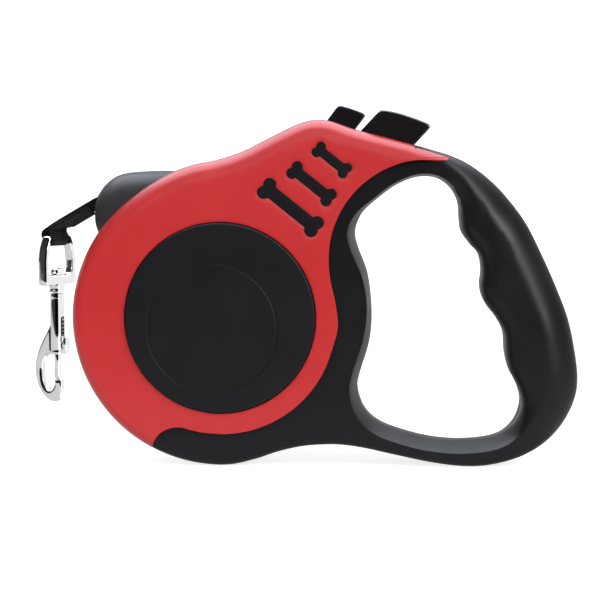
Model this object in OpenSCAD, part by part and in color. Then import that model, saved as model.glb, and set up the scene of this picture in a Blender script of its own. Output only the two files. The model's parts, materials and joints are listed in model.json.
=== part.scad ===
// Retractable tape leash with thumb brake, thumb lock and swivel snap hook.
// The profile lies in the XZ plane, the thickness runs along Y, and +Z is up.
// The origin is at the middle of the surface that the leash stands on.

/* [Casing] */
// Radius of the round body
body_r = 51.5; // [51.3:0.1:51.8]
// Half of the thickness of the black shells
shell_half = 12.5; // [12:0.1:13]
// Wall thickness of the shells
wall = 2; // [1.8:0.1:2.1]
// Thickness of the red covers
cover_t = 2; // [1.6:0.1:2.2]
// Radius of the round raised pad under each cap
pad_r = 31.8; // [31:0.1:32]
// Half of the thickness across the two pads
pad_half = 14.8; // [14.6:0.1:15]
// Radius of the round caps
cap_r = 32.8; // [32.6:0.1:33]
// Thickness of a cap over its pad
cap_t = 1; // [0.8:0.1:1.2]
// Half of the width of the nozzle
nozzle_half = 9.9; // [9:0.1:9.9]

/* [Reel] */
// Radius of the toothed flanges
flange_r = 45.5; // [45:0.1:45.8]
// Number of ratchet notches
notch_n = 24; // [24]
// Depth of a ratchet notch
notch_depth = 3.2; // [3:0.1:3.4]
// Width of a ratchet notch
notch_w = 6.4; // [6.2:0.1:6.8]
// Radius of the hub that the tape winds on
hub_r = 20; // [19:0.5:21]
// Outer radius of the wound tape
wound_r = 41.2; // [40:0.1:41.3]
// Radius of the fixed axle
axle_r = 3; // [2.8:0.1:3]

/* [Tape] */
// Width of the tape
tape_w = 10; // [9:0.1:10]
// Thickness of one layer of tape
tape_t = 0.8; // [0.7:0.05:0.9]
// Angle of the sewn end below the horizontal
tape_slope = 30.4; // [30:0.1:31]

/* [Buttons] */
// Direction of the brake button's stroke above the horizontal
brake_angle = 47; // [47]
// Stroke of the brake button
brake_travel = 4; // [3:0.1:4]
// Direction of the lock button's stroke above the horizontal
lock_angle = 53; // [53]
// Stroke of the lock button
lock_travel = 3.4; // [3:0.1:3.4]

/* [Hook] */
// Turn of the swivel eye's bar away from the casing's plane
eye_turn = 58; // [58]
// Turn of the hook's plane away from the casing's plane
hook_turn = 32; // [30:1:36]
// Radius of the eye's bar
bar_r = 1.25; // [1.2:0.01:1.25]
// Radius of the barrel
barrel_r = 2.5; // [2.4:0.1:2.6]
// Radius of the sliding bolt
bolt_r = 1.22; // [1.2:0.01:1.22]

/* [Hidden] */
$fn = 96;

// The reel's axis in the object's frame
reel_axis = [-28.15, 0, body_r + 0.03];
black = [0.17, 0.17, 0.19];
red = [0.78, 0.2, 0.2];
chrome = [0.82, 0.83, 0.85];
steel = [0.6, 0.61, 0.63];
nylon = [0.87, 0.86, 0.82];

// Outline of the casing: the round body, the belly, the hand grip and the hump, counter-clockwise
casing_knots = concat(arc([0, 0], body_r, 124, 273, 13), [
    [12, -49.4], [19.7, -46.8], [27.3, -45], [34, -44.3], [41, -44.2], [49.4, -45.3],
    [60.5, -47.7], [72.2, -50.1], [82, -51.35], [90, -51.35], [97.4, -50.1], [104.4, -47.9],
    [110.6, -44.7], [115.5, -40.8], [119.2, -36], [122, -30.2], [123.4, -24.3], [123.1, -16.3],
    [120.4, -2.2], [116.1, 9.6], [110.2, 22.7], [104.8, 33], [98, 41.9], [92.3, 47.6],
    [86.3, 52.1], [80, 55.3], [72.8, 57.6], [66.3, 59.4], [56, 62.1], [46.3, 64.6],
    [37.6, 67.5], [31.5, 67.8], [25.5, 66], [16.5, 61.6], [7.9, 57.3], [-1, 54.3],
    [-10.4, 52.3], [-19.5, 48.6]]);
// Outline of the hand opening with its four finger grooves
hole_knots = [
    [67.5, 48.3], [74, 48], [79, 44.6], [81.7, 39.5], [82.2, 34], [82.9, 29.5], [86, 25],
    [89, 21.5], [90, 16], [89.6, 10.5], [91, 5.2], [95, -0.2], [97.8, -5.6], [98.4, -12.5],
    [99.8, -18.5], [103, -25], [104, -31], [101.3, -37.4], [95, -41.8], [84, -43.4],
    [73, -42.7], [63.5, -40.5], [55, -37.3], [49.6, -32.4], [47.2, -25.5], [47.9, -20],
    [51.2, -8.8], [52, 2], [50.6, 14.5], [47.2, 24], [46.2, 29.5], [48.6, 35.8], [54, 40.9],
    [60.5, 45.6]];
// Edge between the red cover and the black shell, from its point above the hand to the belly
cover_knots = concat([[58, 66], [66.5, 59.2], [72, 56.9], [76.8, 55.4], [78.3, 54.7], [76.4, 54.1]],
    arc([71.4, 20.3], 34.1, 98, 185, 7), [[38.2, 11.5], [39.8, 4.5], [40.5, -3]],
    arc([0.3, -0.6], 39.6, -14, -98, 7),
    [[-10, -38.9], [-13.5, -38], [-17, -38.2], [-20.4, -39.7], [-22.5, -42], [-24, -45], [-26, -50]]);
// Closes the cover's region outside the casing
cover_outside = [[-70, -60], [-70, 80], [50, 80]];
// Outline of the nozzle's free side
nozzle_knots = [[-15.5, 50.1], [-19.5, 50.8], [-26, 50.5], [-35.9, 49], [-41, 45.9], [-43.5, 41.2],
    [-43.4, 35], [-42.5, 29], [-40.5, 27.5]];
// Bone-shaped openings: middle x, middle z, length between the ends, radius of the ends
bones = [[24.25, 38, 20.8, 2.3], [31.5, 46.1, 14.9, 1.95], [38.4, 54.2, 11.5, 1.7]];
bone_angle = -38.8;
// How far the shells' outer edges step in at each half thickness: [half thickness, inset]
edge_steps = [[shell_half - 2.9, 0], [shell_half - 1.6, 0.8], [shell_half - 0.6, 2], [shell_half, 3.4]];
cover_steps = [[shell_half + cover_t - 1.1, 0], [shell_half + cover_t, 1.3]];
nozzle_steps = [[nozzle_half - 2.4, 0], [nozzle_half - 0.9, 0.8], [nozzle_half, 2]];

cover_half = shell_half + cover_t;
inner_half = shell_half - wall;
pocket_half = pad_half - 1.8;
// Round inner wall between the reel and the hand grip
well_in = body_r - 3.8;
well_out = body_r - 2.3;
screw_places = [[20, 57], [91.3, 38.5], [112.5, -33], [43, -37]];
post_r = 3.2;
screw_r = 1.25;
peg_angles = [152, 200, 243];
peg_ring = 40.5;
peg_far = [57.5, 57.2];
peg_r = 1.4;

flange_in = 5.5;
flange_out = 7;
chamber_r = 30.2;
chamber_end = 11.2;
post_ring = 13;
tape_half = tape_w / 2;

brake_half = 7.5;
lock_half = 6;
pawl_half = 6.9;
notch_floor = flange_r - notch_depth;
brake_tip = notch_floor + 0.6 + brake_travel;
brake_leg = 4.6;
lock_leg = 3.8;
// The lock's pawl meets the next notch but one, 15 degrees on from the brake's
lock_tip_angle = brake_angle + 360 / notch_n;
lock_shift = (notch_floor + 0.9) * sin(lock_angle - lock_tip_angle);
lock_tip = (notch_floor + 0.9) * cos(lock_angle - lock_tip_angle) + lock_travel;
// Side outlines of the thumb pieces: across the stroke, along the stroke
brake_line = [[-8.6, 74.5], [-8.6, 88.9], [-7.8, 90.2], [-4, 92.7], [0, 94.7], [4, 96.4], [7, 97.5],
    [8.2, 96.6], [8.2, 83.5]];
brake_lip = [[-8.6, 73], [-8.6, 74.8], [8.2, 83.8], [8.2, 82]];
lock_line = [[-4.9, 71], [-4.9, 81.9], [-4.1, 83], [0, 84.7], [3.8, 85.7], [4.7, 85], [4.7, 74.6]];
lock_lip = [[-4.9, 69.5], [-4.9, 71.1], [4.7, 74.7], [4.7, 73.1]];
// The legs end inside the thumb pieces
brake_leg_top = 84;
lock_leg_top = 72.1;
shelf_r = 62;
spring_side = -5.9;

// Middle of the eye's bar, relative to the reel's axis
bar_at = [-58.3, -1, 26.4];
loop_out = bar_r + 1.05;
loop_bore = bar_r + 0.1;
loop_up = 2;
strap_t = 1.9;
strap_len = 19.6;
// Turn of the strap's plane about the bar, and the strap's skew within that plane
strap_skew = asin(cos(tape_slope) * cos(eye_turn));
strap_tilt = asin(sin(tape_slope) / cos(strap_skew));
eye_in = 6.2;
eye_out = 8.1;
eye_depth = 2;
plate_top = -12.4;
plate_low = -16;
collar_low = -18.6;
barrel_top = -18.9;
barrel_low = -40.4;
bolt_top = -34;
bolt_low = -49.1;
spring_top = -22.4;
// Outer and inner edges of the cast hook, across its plane and down from the bar
hook_outer = [[-1.5, -28.5], [-4.8, -33.6], [-7.8, -38.6], [-9.6, -44], [-9.4, -49], [-7.2, -53.8],
    [-3, -57], [0.6, -56.6], [2.3, -53.6], [2.4, -49.3]];
hook_inner = [[-0.8, -49.3], [-1.1, -51.6], [-3.1, -53.2], [-5.4, -51.4], [-6.3, -47.4], [-6.1, -43.4],
    [-4.6, -40.9], [-1.5, -40.3]];
hook_depth = 1.7;

function polar(r, a) = [r * cos(a), r * sin(a)];
function arc(c, r, a0, a1, n) = [for (i = [0:n]) c + polar(r, a0 + (a1 - a0) * i / n)];
function bend(a, b, c, d, t) = 0.5 * (2 * b + (c - a) * t + (2 * a - 5 * b + 4 * c - d) * t * t
    + (3 * b - a - 3 * c + d) * t * t * t);
function smooth_loop(p, n) = let (m = len(p))
    [for (i = [0:m - 1], k = [0:n - 1])
        bend(p[(i + m - 1) % m], p[i], p[(i + 1) % m], p[(i + 2) % m], k / n)];
function smooth_path(p, n) = let (m = len(p) - 1) concat(
    [for (i = [0:m - 1], k = [0:n - 1]) bend(p[max(i - 1, 0)], p[i], p[i + 1], p[min(i + 2, m)], k / n)],
    [p[m]]);

// A flat shape in the XZ plane, from y0 to y1
module slab(y0, y1) {
    translate([0, y1, 0]) rotate([90, 0, 0]) linear_extrude(height = y1 - y0) children();
}

// A round rod along Y at a place in the XZ plane
module rod(y0, y1, r, at = [0, 0]) {
    translate([at[0], y1, at[1]]) rotate([90, 0, 0]) cylinder(h = y1 - y0, r = r);
}

module tube(y0, y1, r_in, r_out, at = [0, 0]) {
    difference() {
        rod(y0, y1, r_out, at);
        rod(y0 - 1, y1 + 1, r_in, at);
    }
}

module from_reel() {
    translate(reel_axis) children();
}

// Local X runs across a thumb button's stroke and local Z along it, away from the reel
module along_stroke(angle, shift = 0) {
    rotate([0, 90 - angle, 0]) translate([shift, 0, 0]) children();
}

module from_bar(turn) {
    translate(bar_at) rotate([0, 0, turn]) children();
}

// Steps a flat shape in from half thickness to half thickness
module stepped(steps, start) {
    for (i = [0:len(steps) - 1])
        slab(-steps[i][0], i == 0 ? start : -steps[i - 1][0] + 0.01)
            offset(delta = -steps[i][1]) children();
}

// ---- flat outlines ----

module casing_flat() {
    polygon(smooth_loop(casing_knots, 3));
}

module hole_flat() {
    polygon(smooth_loop(hole_knots, 3));
}

module bone_flat(bone) {
    translate([bone[0], bone[1]]) rotate(bone_angle) {
        square([bone[2], bone[3] * 2], center = true);
        for (end = [-1, 1], side = [-1, 1])
            translate([end * bone[2] / 2, side * bone[3] * 0.75]) circle(r = bone[3], $fn = 20);
    }
}

module red_region() {
    intersection() {
        casing_flat();
        polygon(concat(smooth_path(cover_knots, 3), cover_outside));
    }
}

// The rim of the cover that wraps round the casing's outer edge
module skirt_flat() {
    difference() {
        red_region();
        offset(delta = -cover_t) casing_flat();
    }
}

module cover_flat() {
    difference() {
        red_region();
        circle(r = cap_r + 0.2);
        for (bone = bones) bone_flat(bone);
    }
}

module shell_flat() {
    difference() {
        casing_flat();
        hole_flat();
        skirt_flat();
    }
}

module nozzle_flat() {
    difference() {
        polygon(concat(smooth_path(nozzle_knots, 3), [[-20, 30]]));
        circle(r = body_r - cover_t + 0.1);
        offset(delta = 0.1 - cover_t) casing_flat();
    }
}

module toothed_flat() {
    difference() {
        circle(r = flange_r);
        for (i = [0:notch_n - 1])
            rotate(brake_angle + i * 360 / notch_n)
                translate([notch_floor + 5, 0]) square([10, notch_w], center = true);
    }
}

// A sector of the plane between two angles
module wedge(a0, a1) {
    polygon(concat([[0, 0]], arc([0, 0], 80, a0, a1, 4)));
}

// ---- casing ----

// Ways through the shells for the two thumb buttons and their legs
module button_ways() {
    along_stroke(brake_angle) {
        translate([-8.9, -7.8, 68]) cube([17.4, 15.6, 40]);
        translate([-2.8, -7.3, well_in - 3]) cube([5.6, 14.6, 20]);
    }
    along_stroke(lock_angle, lock_shift) {
        translate([-5.2, -6.3, 66]) cube([10.2, 12.6, 30]);
        translate([-2.4, -7.3, well_in - 5]) cube([4.8, 14.6, 24]);
    }
}

// Everything that the front and rear shells share, drawn as the front one.
// offset(delta = 0) joins the flat shapes inside it into one outline.
module shell_half_part() {
    difference() {
        union() {
            difference() {
                union() {
                    for (i = [0:len(edge_steps) - 1])
                        slab(-edge_steps[i][0], i == 0 ? 0 : -edge_steps[i - 1][0])
                            offset(delta = 0) intersection() {
                                shell_flat();
                                union() {
                                    offset(delta = -edge_steps[i][1]) difference() {
                                        casing_flat();
                                        hole_flat();
                                    }
                                    red_region();
                                }
                            }
                    rod(-pad_half, -shell_half + 1, pad_r);
                    for (bone = bones)
                        slab(-cover_half + 0.3, -shell_half + 1) offset(delta = -0.15) bone_flat(bone);
                }
                slab(-inner_half, 1) offset(delta = -wall) shell_flat();
                rod(-pocket_half, -inner_half + 1, chamber_r + 0.6);
            }
            tube(-inner_half - 1, 0, well_in, well_out);
            for (at = screw_places) rod(-inner_half - 1, 0, post_r, at);
            along_stroke(brake_angle) translate([-8.6, -inner_half - 0.5, well_in + 1])
                cube([5.2, inner_half + 0.5, shelf_r - well_in - 1]);
        }
        button_ways();
        slab(-8, 1) intersection() {
            difference() {
                circle(r = body_r);
                circle(r = well_in - 1);
            }
            wedge(117.5, 139.5);
        }
        for (a = peg_angles) let (p = polar(peg_ring, a)) rod(-shell_half - 1, 1, peg_r, p);
        rod(-shell_half - 1, -inner_half + 1, peg_r, peg_far);
    }
}

module front_shell() {
    color(black) from_reel() difference() {
        union() {
            shell_half_part();
            rod(-pocket_half - 0.5, -8.2, 6);
        }
        rod(-pad_half + 1, 0, axle_r);
        for (at = screw_places) rod(-8, 1, screw_r, at);
    }
}

module rear_shell() {
    color(black) from_reel() difference() {
        mirror([0, 1, 0]) shell_half_part();
        rod(0, pad_half + 1, axle_r);
        rod(pad_half - 0.8, pad_half + 1, 4.7);
        for (at = screw_places) {
            rod(-1, shell_half + 1, screw_r + 0.35, at);
            rod(shell_half - 4, shell_half + 1, 2.9, at);
        }
    }
}

// A red cover, drawn as the front one: its face, its skirt and its pegs
module cover_part() {
    difference() {
        union() {
            slab(-cover_steps[0][0], -shell_half) offset(delta = 0) cover_flat();
            slab(-cover_steps[1][0], -cover_steps[0][0]) offset(delta = 0) intersection() {
                cover_flat();
                offset(delta = -cover_steps[1][1]) casing_flat();
            }
            slab(-shell_half, -0.05) offset(delta = 0) skirt_flat();
        }
        button_ways();
        slab(-nozzle_half - 0.1, 1) intersection() {
            difference() {
                circle(r = body_r + 12);
                circle(r = body_r - cover_t - 1);
            }
            wedge(106.8, 146.4);
        }
    }
    for (a = peg_angles) let (p = polar(peg_ring, a)) rod(-shell_half - 0.5, -inner_half, peg_r, p);
    rod(-shell_half - 0.5, -inner_half, peg_r, peg_far);
}

module front_cover() {
    color(red) from_reel() cover_part();
}

module rear_cover() {
    color(red) from_reel() difference() {
        mirror([0, 1, 0]) cover_part();
        rod(shell_half - 1, cover_half + 1, 3.1, screw_places[0]);
    }
}

// A round cap, drawn as the front one, with a faint ring off its middle
module cap_part() {
    difference() {
        rod(-pad_half - cap_t, -shell_half - 0.1, cap_r);
        rod(-pad_half, 0, pad_r);
        tube(-pad_half - cap_t - 1, -pad_half - cap_t + 0.2, 22, 22.4, [-2.7, -3.7]);
    }
}

module front_cap() {
    color(black) from_reel() cap_part();
}

module rear_cap() {
    color(black) from_reel() mirror([0, 1, 0]) cap_part();
}

module casing_screws() {
    color(steel) from_reel() for (at = screw_places) {
        rod(-7.5, shell_half - 4, screw_r, at);
        rod(shell_half - 4, shell_half - 2.3, 2.6, at);
    }
}

module axle_screw() {
    color(steel) from_reel() {
        rod(11.4, pad_half - 0.8, screw_r);
        rod(pad_half - 0.8, pad_half - 0.1, 4.5);
    }
}

module nozzle() {
    color([0.24, 0.24, 0.26]) from_reel() difference() {
        union() {
            for (half = [0, 1]) mirror([0, half, 0]) stepped(nozzle_steps, 0) nozzle_flat();
            slab(-7.9, 7.9) intersection() {
                difference() {
                    circle(r = body_r - cover_t + 0.5);
                    circle(r = well_in + 0.1);
                }
                wedge(118, 139);
            }
        }
        slab(-5.8, 5.8) polygon([[-50, 34.2], [-50, 42.8], [-20, 43], [-20, 36], [-38, 36]]);
    }
}

// ---- reel ----

module reel_axle() {
    color(steel) from_reel() difference() {
        rod(1 - pad_half, pad_half - 0.8, axle_r);
        rod(11.3, pad_half, screw_r);
        translate([0, flange_out + 0.2, -0.3]) cube([axle_r + 1, 3.9, 0.6]);
    }
}

module reel_washers() {
    color(nylon) from_reel() {
        tube(-8, -7.3, axle_r + 0.1, 6);
        tube(12.2, 12.8, axle_r + 0.1, 6);
    }
}

module reel_drum() {
    color([0.3, 0.3, 0.32]) from_reel() difference() {
        union() {
            tube(-flange_in, flange_in + 0.5, hub_r - 2.2, hub_r);
            rod(-flange_out, flange_in + 0.5, 6);
            for (a = [30:120:270]) {
                rod(-flange_in, flange_in + 0.5, 2.6, polar(post_ring, a));
                rotate([0, -a - 60, 0]) translate([5, 1 - flange_in, -0.9])
                    cube([hub_r - 6.2, flange_in * 2 - 0.5, 1.8]);
            }
            slab(flange_in, flange_out) toothed_flat();
            tube(flange_out - 0.5, chamber_end, chamber_r - 1.6, chamber_r);
        }
        rod(-20, 20, axle_r + 0.06);
        for (a = [30:120:270]) rod(-flange_in - 1, 1, 0.9, polar(post_ring, a));
    }
}

module reel_flange() {
    color([0.3, 0.3, 0.32]) from_reel() difference() {
        slab(-flange_out, -flange_in) toothed_flat();
        rod(-10, 0, 6.1);
        for (a = [30:120:270]) rod(-10, 0, 1.1, polar(post_ring, a));
    }
}

module reel_screws() {
    color(steel) from_reel() for (a = [30:120:270]) {
        rod(-flange_out, 0.5, 0.9, polar(post_ring, a));
        rod(-flange_out - 1.2, -flange_out, 2, polar(post_ring, a));
    }
}

module spring_cover() {
    color([0.3, 0.3, 0.32]) from_reel() tube(chamber_end, chamber_end + 0.8, axle_r + 0.4, chamber_r);
}

// The flat spiral: ten close turns against the chamber's wall, then an open run in to the axle
module power_spring() {
    turns = 10;
    per_turn = 24;
    pitch = 0.5;
    run_in = 1.25;
    start = chamber_r - 1.9;
    tight_end = start - turns * pitch;
    radii = concat([for (i = [0:turns * per_turn]) start - pitch * i / per_turn],
        [for (i = [1:run_in * per_turn]) tight_end - (tight_end - axle_r - 0.4) * i / (run_in * per_turn)]);
    last = len(radii) - 1;
    outer = [for (i = [0:last]) polar(radii[i], -(last - i) * 360 / per_turn)];
    inner = [for (i = [last:-1:0]) polar(radii[i] - 0.25, -(last - i) * 360 / per_turn)];
    color(steel) from_reel() {
        slab(flange_out + 0.3, chamber_end - 0.3) polygon(concat(outer, inner));
        translate([axle_r - 1, flange_out + 0.3, -0.12]) cube([1.3, 3.6, 0.24]);
    }
}

// ---- tape ----

module tape_winding() {
    color(black) from_reel() tube(-tape_half, tape_half, hub_r, wound_r);
}

// The straight run from the top of the winding to the nozzle's mouth
module tape_feed() {
    color(black) from_reel() slab(-tape_half, tape_half)
        polygon([[-3.2, 41.65], [-42.6, 38.6], [-42.6, 38.6 + tape_t], [-3.2, 41.65 + tape_t]]);
}

// The sewn double end: a flat strap that is skewed to the bar, and the loop that holds the bar
module tape_end() {
    run = [-sin(strap_skew), cos(strap_skew)];
    across = [cos(strap_skew), sin(strap_skew)];
    color(black) from_reel() from_bar(eye_turn + 180) rotate([strap_tilt, 0, 0]) difference() {
        union() {
            for (up = [0, loop_up])
                translate([-tape_half, 0, up]) rotate([0, 90, 0]) cylinder(h = tape_w, r = loop_out);
            translate([-tape_half, -loop_out, 0]) cube([tape_w, loop_out * 2, loop_up]);
            translate([0, 0, loop_up + loop_out - strap_t]) linear_extrude(height = strap_t) polygon([
                [tape_half, 0], [-tape_half, 0], run * 2 - across * tape_half,
                run * strap_len - across * tape_half, run * strap_len + across * tape_half,
                run * 4 + across * tape_half]);
        }
        for (up = [0, loop_up])
            translate([-tape_w, 0, up]) rotate([0, 90, 0]) cylinder(h = tape_w * 2, r = loop_bore);
        translate([-tape_w, -loop_bore, 0]) cube([tape_w * 2, loop_bore * 2, loop_up]);
    }
}

// ---- thumb buttons ----

module brake_button() {
    color(black) from_reel() along_stroke(brake_angle) {
        slab(-brake_half, brake_half) polygon(brake_line);
        slab(-brake_half - 1.1, brake_half + 1.1) polygon(brake_lip);
        translate([-brake_leg / 2, -pawl_half, brake_tip])
            cube([brake_leg, pawl_half * 2, brake_leg_top - brake_tip]);
    }
}

module lock_button() {
    color(black) from_reel() along_stroke(lock_angle, lock_shift) {
        slab(-lock_half, lock_half) polygon(lock_line);
        slab(-lock_half - 1.1, lock_half + 1.1) polygon(lock_lip);
        translate([-lock_leg / 2, -pawl_half, lock_tip])
            cube([lock_leg, pawl_half * 2, lock_leg_top - lock_tip]);
    }
}

// A coil spring along +Z from the origin
module coil(r, wire_r, length, turns) {
    per_turn = 12;
    sides = 6;
    rings = turns * per_turn;
    rise = (length - 2 * wire_r) / rings;
    points = [for (i = [0:rings], j = [0:sides - 1])
        let (a = i * 360 / per_turn, b = j * 360 / sides, q = r - wire_r + wire_r * cos(b))
            [q * cos(a), q * sin(a), wire_r + rise * i + wire_r * sin(b)]];
    walls = [for (i = [0:rings - 1], j = [0:sides - 1], half = [0, 1])
        let (k = (j + 1) % sides, n = i * sides)
            half == 0 ? [n + j, n + k, n + sides + j] : [n + k, n + sides + k, n + sides + j]];
    ends = [[for (j = [0:sides - 1]) sides - 1 - j], [for (j = [0:sides - 1]) rings * sides + j]];
    polyhedron(points, concat(walls, ends));
}

module brake_spring() {
    color(steel) from_reel() along_stroke(brake_angle) translate([spring_side, 0, shelf_r])
        coil(2.2, 0.3, 11, 7);
}

// ---- snap hook ----

module swivel_eye() {
    color(chrome) from_reel() from_bar(eye_turn) difference() {
        union() {
            slab(-eye_depth, eye_depth) difference() {
                union() {
                    translate([-eye_out, plate_low]) square([eye_out * 2, -plate_low - 1.95]);
                    translate([-eye_out + 3.2, -2]) square([eye_out * 2 - 6.4, bar_r + 2]);
                    for (side = [-1, 1]) translate([side * (eye_out - 3.2), bar_r - 3.2]) circle(r = 3.2);
                }
                translate([-eye_in, plate_top]) square([eye_in * 2, -plate_top - bar_r]);
                translate([-5.1, -3]) square([10.2, 6]);
            }
            translate([-5.4, 0, 0]) rotate([0, 90, 0]) cylinder(h = 10.8, r = bar_r);
            translate([0, 0, collar_low]) cylinder(h = plate_low - collar_low + 0.5, r = 3);
        }
        translate([0, 0, collar_low - 1]) cylinder(h = 10, r = 1.55);
    }
}

module hook_body() {
    color(chrome) from_reel() from_bar(-hook_turn) difference() {
        union() {
            translate([0, 0, barrel_low]) cylinder(h = barrel_top - barrel_low, r = barrel_r);
            translate([0, 0, barrel_top - 0.5]) cylinder(h = plate_top + 0.3 - barrel_top + 0.5, r = 1.5);
            translate([0, 0, plate_top + 0.1]) cylinder(h = 2.4, r = 2.4);
            slab(-hook_depth, hook_depth)
                polygon(concat(smooth_path(hook_outer, 3), smooth_path(hook_inner, 3)));
        }
        translate([0, 0, barrel_low - 2]) cylinder(h = spring_top - barrel_low + 2, r = bolt_r + 0.08);
        translate([0, -0.95, -38.6]) cube([barrel_r + 2, 1.9, 11.6]);
    }
}

module hook_bolt() {
    color(chrome) from_reel() from_bar(-hook_turn) {
        translate([0, 0, bolt_low]) cylinder(h = bolt_top - bolt_low, r = bolt_r);
        translate([0, -0.7, -38.3]) cube([3.6, 1.4, 2.4]);
        slab(-1.5, 1.5) translate([3, -40.4]) offset(r = 0.9) translate([0.9, 0.9]) square([0.5, 4.9]);
    }
}

module bolt_spring() {
    color(steel) from_reel() from_bar(-hook_turn) translate([0, 0, bolt_top])
        coil(1.15, 0.17, spring_top - bolt_top, 9);
}

front_shell();
rear_shell();
front_cover();
rear_cover();
front_cap();
rear_cap();
casing_screws();
axle_screw();
nozzle();
reel_axle();
reel_washers();
reel_drum();
reel_flange();
reel_screws();
spring_cover();
power_spring();
tape_winding();
tape_feed();
tape_end();
brake_button();
brake_spring();
lock_button();
swivel_eye();
hook_body();
hook_bolt();
bolt_spring();
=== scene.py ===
import json
from math import acos, asin, atan2, ceil, copysign, cos, degrees, pi, radians, sin, sqrt, tan
import bmesh
import bpy
import numpy as np
from mathutils import Matrix, Vector
from mathutils.geometry import delaunay_2d_cdt


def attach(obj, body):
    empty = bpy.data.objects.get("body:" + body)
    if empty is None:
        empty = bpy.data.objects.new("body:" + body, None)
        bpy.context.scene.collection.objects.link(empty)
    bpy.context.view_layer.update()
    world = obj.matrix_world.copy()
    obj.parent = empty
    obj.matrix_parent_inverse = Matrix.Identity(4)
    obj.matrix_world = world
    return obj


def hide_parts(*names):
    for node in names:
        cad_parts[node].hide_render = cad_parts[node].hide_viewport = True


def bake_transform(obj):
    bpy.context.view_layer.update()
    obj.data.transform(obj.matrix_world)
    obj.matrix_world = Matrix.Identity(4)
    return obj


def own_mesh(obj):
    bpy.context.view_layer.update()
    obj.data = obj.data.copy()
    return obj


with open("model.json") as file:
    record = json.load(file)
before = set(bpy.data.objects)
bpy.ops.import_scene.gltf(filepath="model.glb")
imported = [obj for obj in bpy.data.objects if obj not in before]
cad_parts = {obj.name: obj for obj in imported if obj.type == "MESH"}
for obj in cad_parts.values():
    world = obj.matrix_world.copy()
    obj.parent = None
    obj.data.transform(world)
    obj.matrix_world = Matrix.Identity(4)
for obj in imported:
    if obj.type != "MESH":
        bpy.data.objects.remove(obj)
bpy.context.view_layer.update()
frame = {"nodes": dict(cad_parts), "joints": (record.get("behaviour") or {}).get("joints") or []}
joint = {j["name"]: j for j in frame["joints"]}
REEL = Vector(joint["reel_spin"]["pos_m"])


def vec(*c):
    return Vector(c)


# ---- frames that take local millimetres to the row frame's metres
def turn(angle, axis):
    return Matrix.Rotation(radians(angle), 4, axis)


reel_m = Matrix.Translation(REEL) @ Matrix.Scale(0.001, 4)
# Directions of the thumb buttons' strokes, and where their pawls' tips stop
BRAKE, LOCK = 47.0, 53.0
NOTCH_FLOOR = 42.3
BRAKE_TIP = NOTCH_FLOOR + 0.6 + 4.0
LOCK_LEAN = radians(LOCK - BRAKE - 15)
LOCK_SHIFT = (NOTCH_FLOOR + 0.9) * sin(LOCK_LEAN)
LOCK_TIP = (NOTCH_FLOOR + 0.9) * cos(LOCK_LEAN) + 3.4
brake_m = reel_m @ turn(90 - BRAKE, "Y")
lock_m = reel_m @ turn(90 - LOCK, "Y") @ Matrix.Translation((LOCK_SHIFT, 0, 0))
# The hook's bar, the turns of its eye and hook about Z, and the slope of the tape
BAR = (-58.3, -1.0, 26.4)
EYE_TURN, HOOK_TURN, SLOPE = 58.0, 32.0, 30.4
eye_m = reel_m @ Matrix.Translation(BAR) @ turn(EYE_TURN, "Z")
hook_m = reel_m @ Matrix.Translation(BAR) @ turn(-HOOK_TURN, "Z")
SKEW = asin(cos(radians(SLOPE)) * cos(radians(EYE_TURN)))
TILT = asin(sin(radians(SLOPE)) / cos(SKEW))
strap_l = Matrix.Translation(BAR) @ turn(EYE_TURN + 180, "Z") @ Matrix.Rotation(TILT, 4, "X")


def add_object(name, data, place=None, look=None):
    """Links a new object; a camera or light also gets its place and the direction it looks in."""
    ob = bpy.data.objects.new(name, data)
    bpy.context.scene.collection.objects.link(ob)
    if look is not None:
        ob.location = place
        ob.rotation_mode = "QUATERNION"
        ob.rotation_quaternion = look.to_track_quat("-Z", "Y")
    return ob


# ---- camera
def make_camera(azimuth, elevation, distance, aim, mm_wide):
    a, e = radians(azimuth), radians(elevation)
    back = vec(sin(a) * cos(e), -cos(a) * cos(e), sin(e))
    cam = add_object("camera", bpy.data.cameras.new("camera"), reel_m @ Vector(aim) + back * distance, -back)
    cam.data.sensor_width = 36
    cam.data.lens = 36 * distance / (mm_wide / 1000)
    cam.data.clip_start, cam.data.clip_end = 0.01, 20
    bpy.context.scene.camera = cam


make_camera(azimuth=2.4, elevation=4.4, distance=0.68, aim=(26.95, 0, 5.25), mm_wide=210.0)


# ---- flat outlines, in millimetres about the reel
def spline(p, n, closed):
    p = np.array(p, float)
    m = len(p)
    out = []
    for i in range(m if closed else m - 1):
        if closed:
            a, b, c, d = p[i - 1], p[i], p[(i + 1) % m], p[(i + 2) % m]
        else:
            a, b, c, d = p[max(i - 1, 0)], p[i], p[i + 1], p[min(i + 2, m - 1)]
        for t in np.arange(n) / n:
            out.append(0.5 * (2 * b + (c - a) * t + (2 * a - 5 * b + 4 * c - d) * t * t
                              + (3 * b - a - 3 * c + d) * t ** 3))
    if not closed:
        out.append(p[-1])
    return np.array(out)


def arc(cx, cz, r, a0, a1, n):
    t = np.radians(np.linspace(a0, a1, n + 1))
    return [(cx + r * cos(x), cz + r * sin(x)) for x in t]


def ring(cx, cz, r, n):
    return np.array(arc(cx, cz, r, 0, 360, n)[:-1])


def evenly(p, step, closed):
    """The same line with points a steady distance apart."""
    q = np.vstack([p, p[:1]]) if closed else p
    s = np.concatenate([[0], np.cumsum(np.linalg.norm(np.diff(q, axis=0), axis=1))])
    t = np.linspace(0, s[-1], max(3, int(round(s[-1] / step))) + 1)
    if closed:
        t = t[:-1]
    return np.stack([np.interp(t, s, q[:, 0]), np.interp(t, s, q[:, 1])], 1)


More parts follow.
